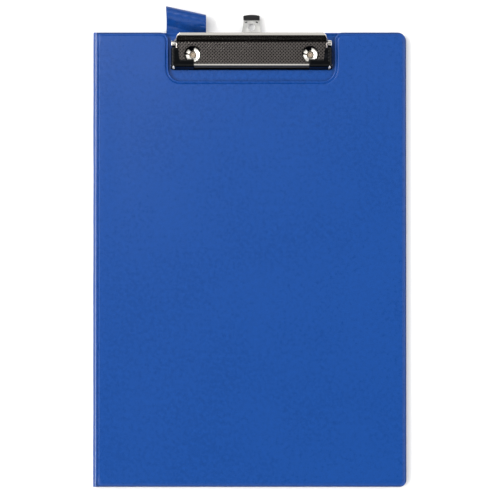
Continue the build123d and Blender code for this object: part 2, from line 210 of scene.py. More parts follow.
def new_piece(name, points, faces, finish, body, nodes=(), sharp=38, closed=True):
    """A piece from an array of points and lists of faces, riding on a body in place of its CAD nodes."""
    mesh = bpy.data.meshes.new(name)
    mesh.from_pydata(points.reshape(-1, 3).tolist(), [], [list(map(int, f)) for f in faces])
    if closed:
        shell = bmesh.new()
        shell.from_mesh(mesh)
        bmesh.ops.remove_doubles(shell, verts=shell.verts, dist=0.002 * mm)
        bmesh.ops.recalc_face_normals(shell, faces=shell.faces)
        shell.to_mesh(mesh)
        shell.free()
    mesh.shade_smooth()
    mesh.set_sharp_from_angle(angle=math.radians(sharp))
    mesh.materials.append(finish)
    piece = bpy.data.objects.new(name, mesh)
    bpy.context.scene.collection.objects.link(piece)
    if nodes:
        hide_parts(*nodes)
    if body:
        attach(piece, body)
    return piece


def smooth(value, low, high):
    """Smooth step from 0 at low to 1 at high."""
    share = np.clip((value - low) / (high - low), 0, 1)
    return share * share * (3 - 2 * share)


def cover_outline(inset, notched):
    """Line parallel to a cover's edge, counter-clockwise: rows of (x, y, nearness to the spine).
    Corners are arcs whose radius shrinks by the inset where the outline turns left and grows where
    it turns right. Straight runs between them are divided finely at their ends."""
    low, high, left, right = -half_h + inset, half_h - inset, spine_x + inset, right_x - inset
    corners = [(left, low, 0, 1), (right, low, 5.2 * mm, 1), (right, high, 6.5 * mm, 1)]
    if notched:
        side = notch_half_w + inset
        bottom = notch_bottom - inset
        corners += [(clip_x + side, high, 6.2 * mm, 1), (clip_x + side, bottom, 9 * mm, -1)]
        corners += [(clip_x - side, bottom, 9 * mm, -1), (clip_x - side, high, 6.2 * mm, 1)]
    corners += [(left, high, 0, 1)]
    arcs = []
    for i, (x, y, r, turn) in enumerate(corners):
        before = np.subtract((x, y), corners[i - 1][:2])
        after = np.subtract(corners[(i + 1) % len(corners)][:2], (x, y))
        before = before / np.linalg.norm(before)
        after = after / np.linalg.norm(after)
        if r == 0:
            arcs.append(np.array([[x, y]]))
            continue
        radius = max(r - turn * inset, 0.05 * mm)
        centre = np.array([x, y]) + radius * (after - before)
        angle = np.linspace(0, math.pi / 2, 13)[:, None]
        arcs.append(centre - radius * (after * np.cos(angle) - before * np.sin(angle)))
    rows = []
    for i, arc in enumerate(arcs):
        rows.append(np.column_stack((arc, np.zeros(len(arc)))))
        start = arc[-1]
        end = arcs[(i + 1) % len(arcs)][0]
        count = (44, 64, 10, 5, 20, 5, 11, 64) if notched else (44, 64, 44, 64)
        even = np.linspace(0, 1, count[i] + 2)[1:-1, None]
        share = even / 2 + (1 - np.cos(math.pi * even)) / 4
        run = start + share * (end - start)
        at_spine = i == len(arcs) - 1
        near = smooth(np.minimum(half_h - run[:, 1], half_h + run[:, 1]), 1 * mm, 6 * mm)
        rows.append(np.column_stack((run, near * at_spine)))
    return np.concatenate(rows)


def press_depth(x, y):
    """How deep the weld is pressed, from 0 to 1: fully round the notch, lightly along the outer edges."""
    beside = 1 - smooth(np.abs(x - clip_x), notch_half_w + 2 * mm, notch_half_w + 12 * mm)
    return 0.3 + 0.7 * beside * smooth(y, notch_bottom - 14 * mm, notch_bottom - 8 * mm)


def skin_height(d, at_spine, pressed):
    """Height of a skin over the weld, at a distance d from the cut edge. The bead is flat, rounded at the cut
    as a quarter ellipse; a bell-shaped groove follows, and a smooth step rises on to the board. At
    the spine the foil goes on at full height, with the weld's groove pressed into it."""
    bead = 0.95 * mm
    cut = 0.25 * mm
    groove_depth = 0.5 * mm
    groove_w = 0.4 * mm
    rounding = cut + (bead - cut) * np.sqrt(1 - (1 - np.clip(d / (0.9 * mm), 0, 1)) ** 2)
    rise = (half_cover - bead) * smooth(d, 1.95 * mm, 2.9 * mm)
    groove = groove_depth * pressed * np.exp(-(((d - 1.6 * mm) / groove_w) ** 2))
    spine_groove = groove_depth * np.exp(-(((d - 1.1 * mm) / groove_w) ** 2))
    return (rounding + rise - groove) * (1 - at_spine) + (half_cover - spine_groove) * at_spine


def sag(x, y):
    """Depth of the foil's slight unevenness between its welds: three crossed waves."""
    waves = np.sin(x / (19 * mm) + 1.3 * np.sin(y / (37 * mm))) + np.sin(y / (23 * mm) + x / (61 * mm))
    return 0.045 * mm * (2 + waves)


def inside(points, loop):
    """Which points lie in a closed loop, by the even-odd rule."""
    ends = np.roll(loop, -1, axis=0)
    x, y = points[:, :1], points[:, 1:2]
    spans = (loop[:, 1] > y) != (ends[:, 1] > y)
    rise = np.where(ends[:, 1] == loop[:, 1], 1, ends[:, 1] - loop[:, 1])
    crossing = loop[:, 0] + (y - loop[:, 1]) * (ends[:, 0] - loop[:, 0]) / rise
    return (spans & (x < crossing)).sum(axis=1) % 2 == 1


def fill(loop, holes, spacing):
    """Flat points and triangles inside a loop: a lattice of points, joined to the loop and the holes' rims.
    The third array is each point's distance from the loop."""
    spans = []
    for low, high in zip(loop.min(axis=0), loop.max(axis=0)):
        spans.append(np.linspace(low + spacing / 2, high - spacing / 2, int((high - low) / spacing)))
    lattice = np.stack(np.meshgrid(*spans), axis=-1).reshape(-1, 2)
    near = np.linalg.norm(lattice[:, None] - loop[None], axis=-1).min(axis=1)
    lattice = lattice[inside(lattice, loop) & (near > spacing / 2)]
    rims = [loop, *holes]
    for rim in holes:
        lattice = lattice[np.linalg.norm(lattice - rim.mean(axis=0), axis=1) > rivet_seat_r + spacing / 2]
    starts = np.cumsum([0] + [len(rim) for rim in rims])
    edges = [(a + i, a + (i + 1) % (b - a)) for a, b in zip(starts, starts[1:]) for i in range(b - a)]
    points = np.concatenate(rims + [lattice])
    _, _, triangles, origin, _, _ = delaunay_2d_cdt([Vector(p) for p in points / mm], edges, [], 0, 1e-4)
    order = np.array([o[0] for o in origin])
    triangles = order[np.array([t for t in triangles])]
    middle = points[triangles].mean(axis=1)
    kept = inside(middle, loop)
    for rim in holes:
        kept &= ~inside(middle, rim)
    depth = np.linalg.norm(points[:, None] - loop[None], axis=-1).min(axis=1)
    return points, triangles[kept], depth


def cover_skin(name, node, body, weld_z, side, notched, finish, seats=()):
    """One foil of a cover as a thin closed shell. Rings parallel to the edge carry its profile in from the
    board, over the groove and the bead to the cut, and back along the weld and the board's side."""
    top_d = np.concatenate((np.linspace(4.8, 1.0, 20), 0.9 * (1 - np.sin(np.linspace(0.1, 1.57, 7)))))
    rings = []
    for d in top_d * mm:
        line = cover_outline(d, notched)
        height = skin_height(d, line[:, 2], press_depth(line[:, 0], line[:, 1]))
        rings.append(np.column_stack((line[:, :2], weld_z + side * height)))
    for d, height in ((0, 0), (board_in, 0), (board_in, board_half), (top_d[0] * mm, board_half)):
        line = cover_outline(d, notched)
        rings.append(np.column_stack((line[:, :2], np.full(len(line), weld_z + side * height))))
    ring_points = np.array(rings)
    count = ring_points.shape[1]
    faces = grid_faces(len(rings), count, close_columns=True).tolist()
    turn = np.linspace(0, 2 * math.pi, 49)[:-1]
    circle = rivet_seat_r * np.column_stack((np.cos(turn), np.sin(turn)))
    holes = [circle + (x, rivet_y) for x in seats]
    flat, triangles, depth = fill(ring_points[0, :, :2], holes, 7 * mm)
    outer_z = weld_z + side * (half_cover - sag(flat[:, 0], flat[:, 1]) * smooth(depth, 0, 9 * mm))
    outer = np.column_stack((flat, outer_z))
    inner = np.column_stack((flat, np.full(len(flat), weld_z + side * board_half)))
    first = len(rings) * count
    faces += (triangles + first).tolist() + (triangles + first + len(flat)).tolist()
    for i in range(len(holes)):
        rim = first + count + i * len(turn) + np.arange(len(turn))
        after = first + count + i * len(turn) + (np.arange(len(turn)) + 1) % len(turn)
        faces += np.column_stack((rim, after, after + len(flat), rim + len(flat))).tolist()
    points = np.concatenate((ring_points.reshape(-1, 3), outer, inner))
    return new_piece(name, points, faces, finish, body, [node])


outer_pvc = pvc_finish("blue_pvc_skin", pvc_blue, 0.05 * mm, cut=True)
inner_pvc = pvc_finish("blue_pvc_lining", lining_blue, 0.035 * mm)
seats = (clip_x - rivet_x, clip_x + rivet_x)
cover_skin("back_skin", "back_outer_skin", "back", back_weld_z, -1, False, outer_pvc, seats)
cover_skin("back_lining", "back_inner_lining", "back", back_weld_z, 1, False, inner_pvc)
cover_skin("front_lining", "front_inner_lining", "cover", front_weld_z, -1, True, inner_pvc)
cover_skin("front_skin", "front_outer_skin", "cover", front_weld_z, 1, True, outer_pvc)

# Boards: plain grey bookbinding board, cut to size and shut in between the foils. They show only
# at the rivets' seats, so they keep their shape and take a fibrous, speckled grey finish.
greyboard, shader, place = new_finish("greyboard", Roughness=0.9)
fibres = place.node("TexNoise", {}, {"Vector": place, "Scale": 700, "Detail": 6})
specks = place.node("TexNoise", {}, {"Vector": place, "Scale": 180, "Detail": 2}).step(0.58, 0.66)
board_tint = (fibres * 0.7 + specks * 0.3).blend((0.30, 0.28, 0.25, 1), (0.50, 0.48, 0.44, 1))
felt = place.node("Bump", {}, {"Strength": 0.5, "Distance": 0.1 * mm, "Height": fibres})
set_inputs(greyboard, shader, Base_Color=board_tint, Normal=felt)


def dress(node, finish):
    """Gives a node that keeps its own shape its finish."""
    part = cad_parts[node]
    part.data.materials.clear()
    part.data.materials.append(finish)


dress("back_board", greyboard)
dress("front_board", greyboard)

# Spine: the outer skin and the lining go on past the boards as one soft welded web. Shut, it is
# folded in a half round between the covers; each half bends from its cover to the spine's middle.
spine_low, spine_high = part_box("spine_outer_skin")
spine_r = (spine_high.z - spine_low.z) / 2
foil = 0.4 * mm


def spine_half(name, node, outer_r, upper, finish):
    """A quarter tube along Y: an arc of the web's section, with its foil's thickness, whose radius shrinks
    by slow and quick waves along the spine, as hand-folded foil does."""
    turn = np.linspace(0, math.pi / 2, 15)
    turn = math.pi - turn if upper else turn
    along = np.linspace(-half_h, half_h, 181)
    slack = 0.05 * mm * (2 + np.sin(along / (23 * mm)) + np.sin(along / (9.1 * mm) + 1))[:, None]
    slack = slack * np.sin(turn) ** 2
    section = []
    for radius, angles in ((outer_r, slice(None)), (outer_r - foil, slice(None, None, -1))):
        a = turn[angles]
        x = spine_x - (radius - slack[:, angles]) * np.sin(a)
        z = spine_r - (radius - slack[:, angles] * np.sin(a)) * np.cos(a)
        section.append(np.stack((x, np.broadcast_to(along[:, None], x.shape), z), axis=-1))
    points = np.concatenate(section, axis=1)
    faces = tube_faces(*points.shape[:2])
    piece = new_piece(name, points, faces, finish, None, [node])
    if upper:
        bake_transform(piece)
    else:
        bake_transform(piece)


spine_pvc = pvc_finish("blue_pvc_spine", pvc_blue, 0.02 * mm, gloss=0.06, specular=0.85)
for upper, half in ((False, "lower"), (True, "upper")):
    spine_half(f"spine_skin_{half}", "spine_outer_skin", spine_r, upper, spine_pvc)
    spine_half(f"spine_lining_{half}", "spine_inner_lining", spine_r - foil, upper, inner_pvc)

# Inside pocket: a thin PVC sheet laid on the front cover's lining and welded along three sides. Its
# slanted top edge is its open mouth, with a narrow pressed hem.
pocket_low, pocket_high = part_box("inside_pocket")
pocket_drop = 60 * mm
hem = 3 * mm
across = np.concatenate((np.linspace(0, 0.06, 12), np.linspace(0.08, 0.92, 40), np.linspace(0.94, 1, 12)))
upward = np.concatenate((np.linspace(0, 0.06, 12), np.linspace(0.08, 0.92, 30), np.linspace(0.94, 1, 12)))
u, v = np.meshgrid(across, upward)
pocket_x = pocket_low.x + u * (pocket_high.x - pocket_low.x)
mouth_y = pocket_high.y - u * pocket_drop
pocket_y = pocket_low.y + v * (mouth_y - pocket_low.y)
to_weld = np.minimum(np.minimum(pocket_x - pocket_low.x, pocket_high.x - pocket_x), pocket_y - pocket_low.y)
press_h = 0.12 * mm
weld_line = np.exp(-(((to_weld - hem / 2) / (0.6 * mm)) ** 2))
hem_line = np.exp(-(((mouth_y - pocket_y - hem) / (0.5 * mm)) ** 2))
lower = pocket_low.z + press_h * np.clip(weld_line + hem_line, 0, 1)
upper_face = np.full(lower.shape, pocket_high.z)
layers = [np.stack((pocket_x, pocket_y, z), axis=-1) for z in (lower, upper_face)]
sheet_faces = grid_faces(*lower.shape)
rim = np.concatenate((
    np.arange(lower.shape[1]),
    np.arange(1, lower.shape[0]) * lower.shape[1] + lower.shape[1] - 1,
    (lower.shape[0] - 1) * lower.shape[1] + np.arange(lower.shape[1] - 2, -1, -1),
    np.arange(lower.shape[0] - 2, 0, -1) * lower.shape[1],
))
after = np.roll(rim, -1)
wall = np.column_stack((rim, after, after + lower.size, rim + lower.size))
pocket_faces = [*sheet_faces.tolist(), *(sheet_faces + lower.size).tolist(), *wall.tolist()]
new_piece("pocket_sheet", np.array(layers), pocket_faces, inner_pvc, "cover",
          ["inside_pocket"])

# Pen loop: one strip of the same foil, folded over a pen and welded with both ends into the back
# cover's edge. It slants away to the left, and creases where its upper side dips to the weld.
loop_low, loop_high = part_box("pen_loop")
loop_t = 0.5 * mm
loop_left_y = 180.05 * mm
loop_right_y = 173.6 * mm
strap_y = half_h - 2.9 * mm
strip_line = np.array([
    (-7.6, 1.2), (-5.2, 1.0), (-1.2, 0.6), (3.0, 1.1), (5.7, 3.0), (6.2, 5.0), (5.4, 7.3),
    (3.2, 8.85), (0.2, 8.95), (-2.6, 7.7), (-5.0, 5.8), (-7.0, 3.7), (-8.6, 2.0),
]) * mm


def spline(points, per_span):
    """Uniform cubic B-spline through clamped control points, evaluated span by span as one array."""
    padded = np.concatenate((points[:1], points[:1], points, points[-1:], points[-1:]))
    t = np.linspace(0, 1, per_span, endpoint=False)[:, None]
    weights = ((1 - t) ** 3, 3 * t**3 - 6 * t**2 + 4, -3 * t**3 + 3 * t**2 + 3 * t + 1, t**3)
    spans = range(len(padded) - 3)
    curve = [sum(w * padded[i + k] for k, w in enumerate(weights)) / 6 for i in spans]
    return np.concatenate(curve + [points[-1:]])


def ribbon(line, thickness):
    """Closed outline of a strip seen edge on: its middle line moved half the thickness to each side."""
    along = np.gradient(line, axis=0)
    along /= np.linalg.norm(along, axis=1)[:, None]
    normal = np.column_stack((-along[:, 1], along[:, 0])) * thickness / 2
    return np.concatenate((line + normal, (line - normal)[::-1]))


stations = np.linspace(0, 1, 49)
loop_sections = []
for share in stations:
    middle_y = loop_left_y + share * (loop_right_y - loop_left_y)
    line = strip_line + np.array([middle_y, 0])
    line = np.concatenate(([(strap_y, 1.15 * mm)], line, [(strap_y, 1.6 * mm)]))
    curve = spline(line, 7)
    crumple = 0.18 * mm * np.abs(np.sin(5 * share + curve[:, 0] / (2.1 * mm)))
    crumple += 0.08 * mm * np.abs(np.sin(9 * share - curve[:, 0] / (1.4 * mm)))
    curve[:, 1] -= crumple * smooth(curve[:, 1], 2 * mm, 5 * mm)
    section = ribbon(curve, loop_t)
    pinch = np.sin(math.pi * np.clip((section[:, 0] - strap_y) / (22 * mm), 0, 1))
    edge = np.exp(-((share / 0.12) ** 2))
    x = loop_low.x + 0.35 * mm + share * (loop_high.x - 0.45 * mm - loop_low.x) + 0.5 * mm * pinch * edge
    loop_sections.append(np.column_stack((x, section)))
loop_points = np.array(loop_sections)
sides = loop_points.shape[1]
loop_faces = grid_faces(len(stations), sides, close_columns=True).tolist()
half = sides // 2
cap = np.arange(half - 1)
cap = np.column_stack((cap, cap + 1, sides - 2 - cap, sides - 1 - cap))
loop_faces += cap.tolist() + (cap + (len(stations) - 1) * sides).tolist()
# The strip's foil is the cover's blue darkened by 0.84 as painted shade.
strip_pvc_shaded = pvc_finish("blue_pvc_strip_shaded", tuple(0.84 * part for part in pvc_blue), 0.04 * mm)
new_piece("pen_strip", loop_points, loop_faces, strip_pvc_shaded, "back", ["pen_loop"])


# Nickel-plated steel: the base plate with its ears and bridge is pressed from one sheet, and the
# pivot rod is peened over the ears. Both keep their own shape and take the plated finish.
nickel = (0.80, 0.775, 0.73)


def nickel_finish(name, colour, gloss, brushing, shade_to_y=0.0):
    """Bright plating: a mirror with faint polishing lines along the clip, and duller in soft patches.
    Ahead of the given place in Y, which the lever mostly hides, it is painted black as shade."""
    finish, shader, place = new_finish(name, Metallic=1.0)
    stretched = place.node("Mapping", {}, {"Vector": place, "Scale": (60, 1600, 1600)})
    lines = place.node("TexNoise", {}, {"Vector": stretched, "Scale": 1, "Detail": 4})
    patches = place.node("TexNoise", {}, {"Vector": place, "Scale": 55, "Detail": 3})
    shine = gloss + patches.step(0.35, 0.75) * 0.06 + lines * brushing
    tone = patches.blend(rgba(colour, 0.93), rgba(colour, 1.05))
    y = place.node("SeparateXYZ", {}, {0: place}, out=1)
    # Painted shade: black ahead of the given Y, under the lever.
    tone = y.step(shade_to_y - 0.2 * mm, shade_to_y + 0.2 * mm).blend((0.012, 0.013, 0.018, 1), tone)
    relief = place.node("Bump", {}, {"Strength": 0.25, "Distance": 0.01 * mm, "Height": lines})
    set_inputs(finish, shader, Base_Color=tone, Roughness=shine, Normal=relief)
    return finish


plated = nickel_finish("nickel_plate", nickel, 0.10, 0.05)
# The base plate is painted black as shade ahead of Y 157 mm, under the lever.
shaded_base_metal = nickel_finish("base_plate_metal", nickel, 0.10, 0.05, shade_to_y=157 * mm)
dress("clip_base_plate", shaded_base_metal)
dress("pivot_rod", plated)

# Rivets: tubular steel rivets, their flat heads let into the back cover. The tube's end is split and
# rolled out over the base plate in domed petals, two of them parted by wide slits.
rivet_low, rivet_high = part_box("rivet_left")
head_r = (rivet_high.x - rivet_low.x) / 2
plate_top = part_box("clip_base_plate")[0].z + 1.0 * mm
reach_r = head_r + 0.2 * mm
bore_r = 2.1 * mm
ring_r = 2.7 * mm
dish_depth = 0.85 * mm
slit_angles = (102, 172, 258, 322, 394)
slit_widths = (3.6, 1.0, 0.4, 0.2, 0.2)


def rivet_finish():
    """Plating, with a plug of dull brassy dirt in the tube's bore, with a painted highlight at its pale
    middle and painted shade in a dark band at the bore's rim.
    """
    finish, shader, place = new_finish("rivet_metal")
    patches = place.node("TexNoise", {}, {"Vector": place, "Scale": 420, "Detail": 3})
    x, y, z = (place.node("SeparateXYZ", {}, {0: place}, out=i) for i in range(3))
    side = place.maths("ABSOLUTE", x - clip_x) - rivet_x
    radius = place.maths("SQRT", side * side + (y - rivet_y) * (y - rivet_y))
    bore = (1 - radius.step(bore_r - 0.1 * mm, bore_r + 0.1 * mm)) * z.step(2 * mm, 2.4 * mm)
    # Painted shade: a dark, patchy band where the bore's rim turns down into it.
    bore_rim_shade = radius.step(bore_r - 0.6 * mm, bore_r - 0.2 * mm) * (1 - radius.step(ring_r - 0.3 * mm, ring_r))
    plate = patches.blend((0.74, 0.72, 0.67, 1), (0.94, 0.92, 0.87, 1))
    # The plug is pale at its middle, a painted highlight, with a brown ring round it.
    plug_ring = radius.step(0.3 * mm, 0.9 * mm) * (1 - radius.step(1.1 * mm, 1.7 * mm))
    plug = plug_ring.blend((0.95, 0.86, 0.72, 1), (0.42, 0.29, 0.18, 1))
    tone = bore.blend(plate, plug)
    tone = (bore_rim_shade * patches.step(0.36, 0.5)).blend(tone, (0.10, 0.07, 0.045, 1))
    rough = 0.20 + patches * 0.12 + bore * 0.4
    relief = place.node("Bump", {}, {"Strength": 0.4, "Distance": 0.03 * mm, "Height": patches})
    set_inputs(finish, shader, Base_Color=tone, Metallic=1 - bore, Roughness=rough, Normal=relief)
    return finish


def rivet_profile():
    """Half section of a rivet from the head's middle round to the bore's floor: rows of radius, height
    and 1 on the petals or 0 elsewhere."""
    a = np.linspace(0, math.pi / 2, 7)
    head = np.column_stack((head_r - 0.3 * mm * (1 - np.sin(a)), rivet_low.z + 0.3 * mm * (1 - np.cos(a))))
    b = np.linspace(0, math.pi / 2, 9)
    crest_r = reach_r - 0.45 * mm
    crest_z = plate_top + 1.5 * mm
    curl = np.column_stack((crest_r + 0.45 * mm * np.cos(b), crest_z - 1.3 * mm + 1.3 * mm * np.sin(b)))
    b = np.linspace(0, 1, 9)[1:]
    dish = np.column_stack((crest_r + (ring_r - crest_r) * b, crest_z - dish_depth * (0.7 * b + 0.3 * b * b)))
    c = np.linspace(0, math.pi, 9)
    lip = np.column_stack((
        (ring_r + bore_r) / 2 + (ring_r - bore_r) / 2 * np.cos(c),
        crest_z - dish_depth + 0.35 * mm * np.sin(c),
    ))
    rows = [
        ([(0, rivet_low.z)], 0),
        (head, 0),
        ([(head_r, 0.9 * mm), (2.2 * mm, 0.9 * mm), (2.2 * mm, plate_top)], 0),
        ([(ring_r, plate_top), (reach_r, plate_top)], 1),
        (curl, 1),
        (dish, 1),
        (lip, 0),
        ([(bore_r, plate_top + 0.35 * mm), (1.2 * mm, plate_top + 0.25 * mm), (0, plate_top + 0.2 * mm)], 0),
    ]
    return np.concatenate([np.column_stack((part, np.full(len(part), share))) for part, share in rows])


profile = rivet_profile()
turn = np.linspace(0, 2 * math.pi, 361)[:-1]
reach = np.full(turn.shape, reach_r)
for angle, width in zip(slit_angles, slit_widths):
    off = np.abs((turn - math.radians(angle) + math.pi) % (2 * math.pi) - math.pi) * 4.2 * mm
    open_share = smooth(off, width * mm / 2 - 0.12 * mm, width * mm / 2 + 0.12 * mm)
    reach = np.minimum(reach, ring_r + 0.15 * mm + (reach_r - ring_r - 0.15 * mm) * open_share)
ripple = 1 - 0.03 * np.cos(5 * (turn - math.radians(134)))
reach = ring_r + (reach - ring_r) * ripple / 1.03
rivet_metal = rivet_finish()
for side, name in ((-1, "left"), (1, "right")):
    radius = profile[:, :1] * np.ones(turn.shape)
    share = (radius - ring_r) / (reach_r - ring_r)
    split = ring_r + share * (reach - ring_r)
    radius = np.where(profile[:, 2:] > 0, split, radius)
    x = clip_x + side * rivet_x + radius * np.cos(turn)
    y = rivet_y + radius * np.sin(turn)
    z = np.broadcast_to(profile[:, 1:2], x.shape)
    faces = grid_faces(len(profile), len(turn), close_columns=True)
    points = np.stack((x, y, z), axis=-1)
    new_piece(f"split_rivet_{name}", points, faces, rivet_metal, "back",
              [f"rivet_{name}"], sharp=50)

# Torsion springs: bright wire wound loosely on the rod. One leg presses on the base plate and the
# other under the lever, so the coils wind up from one end to the other as the lever is pressed.
rod_low, rod_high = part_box("pivot_rod")
pivot_y = (rod_low.y + rod_high.y) / 2
pivot_z = (rod_low.z + rod_high.z) / 2
wire_r = 0.6 * mm
coil_r = pivot_z - plate_top - wire_r
coil_turns = 5
coil_pitch = 1.75 * mm
coil_start = 15 * mm
leg_tilt = math.radians(12.5)
base_leg = 6.2 * mm
lever_leg = 5.6 * mm
coil_rings = 190
leg_rings = 6
wire_sides = 12

spring_steel, shader, place = new_finish("spring_steel", Metallic=1.0)
drawn = place.node("Mapping", {}, {"Vector": place, "Scale": (2600, 300, 300)})
marks = place.node("TexNoise", {}, {"Vector": drawn, "Scale": 1, "Detail": 3})
steel_tone = marks.blend((0.42, 0.42, 0.43, 1), (0.60, 0.59, 0.58, 1))
set_inputs(spring_steel, shader, Base_Color=steel_tone, Roughness=0.2 + marks * 0.2)


def spring_wire(side):
    """Tube along a helix with two straight legs at its ends, square to a radius of the coil."""
    total = 2 * math.pi * coil_turns + math.pi - leg_tilt
    coil = np.linspace(0, total, coil_rings)
    angle = np.concatenate((np.zeros(leg_rings), coil, np.full(leg_rings, total)))
    rest = np.zeros(coil_rings + leg_rings)
    before = np.concatenate((np.linspace(base_leg, 0.2 * mm, leg_rings), rest))
    behind = np.concatenate((rest, np.linspace(0.2 * mm, lever_leg, leg_rings)))
    advance = side * coil_pitch / (2 * math.pi)
    radial = np.column_stack((np.zeros(angle.shape), -np.sin(angle), -np.cos(angle)))
    along = np.column_stack((np.full(angle.shape, advance), -coil_r * np.cos(angle), coil_r * np.sin(angle)))
    along /= np.linalg.norm(along, axis=1)[:, None]
    start = np.array([clip_x + side * coil_start, pivot_y, pivot_z])
    line = start + coil_r * radial + along * (behind - before)[:, None]
    line[:, 0] += advance * angle
    across = np.cross(along, radial)
    turn = np.linspace(0, 2 * math.pi, wire_sides + 1)[:-1][None, :, None]
    return line[:, None] + wire_r * (radial[:, None] * np.cos(turn) + across[:, None] * np.sin(turn))


for side, name in ((-1, "left"), (1, "right")):
    tube = spring_wire(side)
    faces = tube_faces(*tube.shape[:2])
    wire = new_piece(f"spring_wire_{name}", tube, faces, spring_steel, None,
                     [f"spring_{name}"])
    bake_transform(wire)

# Pressure lever: one steel sheet, bent up from the jaw, nearly flat over the rivets, then up again to
# the thumb lip. A press embosses the flat with crossed ridges and rolls the ends down into cheeks.
lever_low, lever_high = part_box("pressure_lever")
sheet = 1.0 * mm
lever_line = np.array([
    (140.1, 5.15), (141.5, 5.6), (142.1, 9.05), (159.7, 11.1), (164.5, 14.93), (165.9, 15.38),
]) * mm
bend_radii = np.array([1.3, 2.0, 0.6, 0.6]) * mm
lever_half_w = 55.9 * mm
jaw_half_w = 58.4 * mm
jaw_rear_y = 155.4 * mm
cheek_r = 2.9 * mm
wing_corner_w = 5.0 * mm
wing_corner_l = 7.5 * mm
access_r = 6.1 * mm
cell = 0.32 * mm
ridge_pitch = 2.48 * mm
ridge_h = 0.09 * mm
cheek_wrap = 0.62
jaw_foot_y = 153.2 * mm
ridge_front, ridge_rear = (143.6 * mm, 144.1 * mm), (158.6 * mm, 159.1 * mm)
flat_front, flat_rear = (143.4 * mm, 143.8 * mm), (159.0 * mm, 159.5 * mm)
fold_front, fold_rear = (158.9 * mm, 159.3 * mm), (160.2 * mm, 160.6 * mm)
face_edge, toe_edge = (142.0 * mm, 142.35 * mm), (140.6 * mm, 140.9 * mm)


def bent_line(corners, radii):
    """Middle line of a bent sheet: straight runs joined by tangent arcs, as one array of points."""
    line = [corners[:1]]
    for before, corner, after, radius in zip(corners, corners[1:], corners[2:], radii):
        into = (corner - before) / np.linalg.norm(corner - before)
        out = (after - corner) / np.linalg.norm(after - corner)
        half_turn = math.acos(np.clip(into @ out, -1, 1)) / 2
        back = radius * math.tan(half_turn)
        centre = corner + (out - into) / np.linalg.norm(out - into) * radius / math.cos(half_turn)
        start = corner - into * back - centre
        swing = np.linspace(0, 2 * half_turn, 12)[:, None]
        line.append(centre + start * np.cos(swing) + into * radius * np.sin(swing))
    line.append(corners[-1:])
    return np.concatenate(line)


def walk(line, step):
    """Points at even steps along a line, with the unit normals on its left."""
    length = np.concatenate(([0], np.cumsum(np.linalg.norm(np.diff(line, axis=0), axis=1))))
    at = np.linspace(0, length[-1], int(length[-1] / step) + 1)
    points = np.column_stack([np.interp(at, length, line[:, i]) for i in range(2)])
    along = np.gradient(points, axis=0)
    along /= np.linalg.norm(along, axis=1)[:, None]
    return points, np.column_stack((-along[:, 1], along[:, 0]))


rows, normals = walk(bent_line(lever_line, bend_radii), cell)
top = rows + normals * sheet / 2
lip_y = rows[:, 0].max() + sheet / 2
roll_r = ((1.4 - 0.75 * smooth(rows[:, 0], 159.5 * mm, 162.5 * mm)) * mm)[:, None]
past = np.clip((rows[:, 0] - lip_y) / wing_corner_l + 1, 0, 0.995)
corner_in = wing_corner_w * (1 - np.sqrt(1 - past**2))
jaw_share = 1 - smooth(rows[:, 0], jaw_rear_y - 0.6 * mm, jaw_rear_y)
row_half_w = lever_half_w + (jaw_half_w - lever_half_w) * jaw_share - corner_in
flat_u = np.linspace(-1, 1, int(2 * lever_half_w / cell))
x = clip_x + flat_u * (row_half_w[:, None] - roll_r)
y = np.broadcast_to(top[:, :1], x.shape)
z = np.broadcast_to(top[:, 1:], x.shape)

swing = np.linspace(0, math.pi / 2, 8)[1:]
roll_out = roll_r * np.sin(swing)
roll_down = roll_r * (1 - np.cos(swing))
roll_end = top - normals * roll_r
rear = rows[:, 0] > jaw_rear_y
shoulder_y = lever_line[4, 0] - 0.6 * mm
share = np.clip((rows[:, 0] - jaw_rear_y) / (shoulder_y - jaw_rear_y), 0, 1)
around = math.pi * np.clip(share / cheek_wrap, 0, 1)
foot = np.column_stack((pivot_y - cheek_r * np.cos(around), pivot_z - cheek_r * np.sin(around)))
climb = np.clip((share - cheek_wrap) / (1 - cheek_wrap), 0, 1)[:, None]
shoulder_end = roll_end[np.argmin(np.abs(rows[:, 0] - shoulder_y))]
foot = foot + climb * (shoulder_end - foot)
jaw_foot_z = np.interp(rows[:, 0], (jaw_foot_y, jaw_rear_y), (4.9 * mm, 6.3 * mm))
jaw_foot = np.column_stack((rows[:, 0], np.minimum(jaw_foot_z, roll_end[:, 1] - 0.05 * mm)))
foot = np.where(rear[:, None], foot, jaw_foot)
on_lip = (share >= 1)[:, None]
foot = np.where(on_lip, roll_end - normals * 0.05 * mm, foot)
down = np.linspace(0, 1, 9)[1:]


def lever_side(side):
    """The rolled end and cheek on one side: a quarter round along each row, then a ruled strip down
    to the foot."""
    edge = clip_x + side * (row_half_w[:, None] - roll_r)
    roll_x = edge + side * roll_out
    roll_yz = top[:, None] - normals[:, None] * roll_down[:, :, None]
    cheek_x = np.broadcast_to(edge + side * roll_r, (len(rows), len(down)))
    cheek_yz = roll_end[:, None] + down[None, :, None] * (foot - roll_end)[:, None]
    part_x = np.concatenate((roll_x, cheek_x), axis=1)
    part_yz = np.concatenate((roll_yz, cheek_yz), axis=1)
    return np.concatenate((part_x[..., None], part_yz), axis=-1)


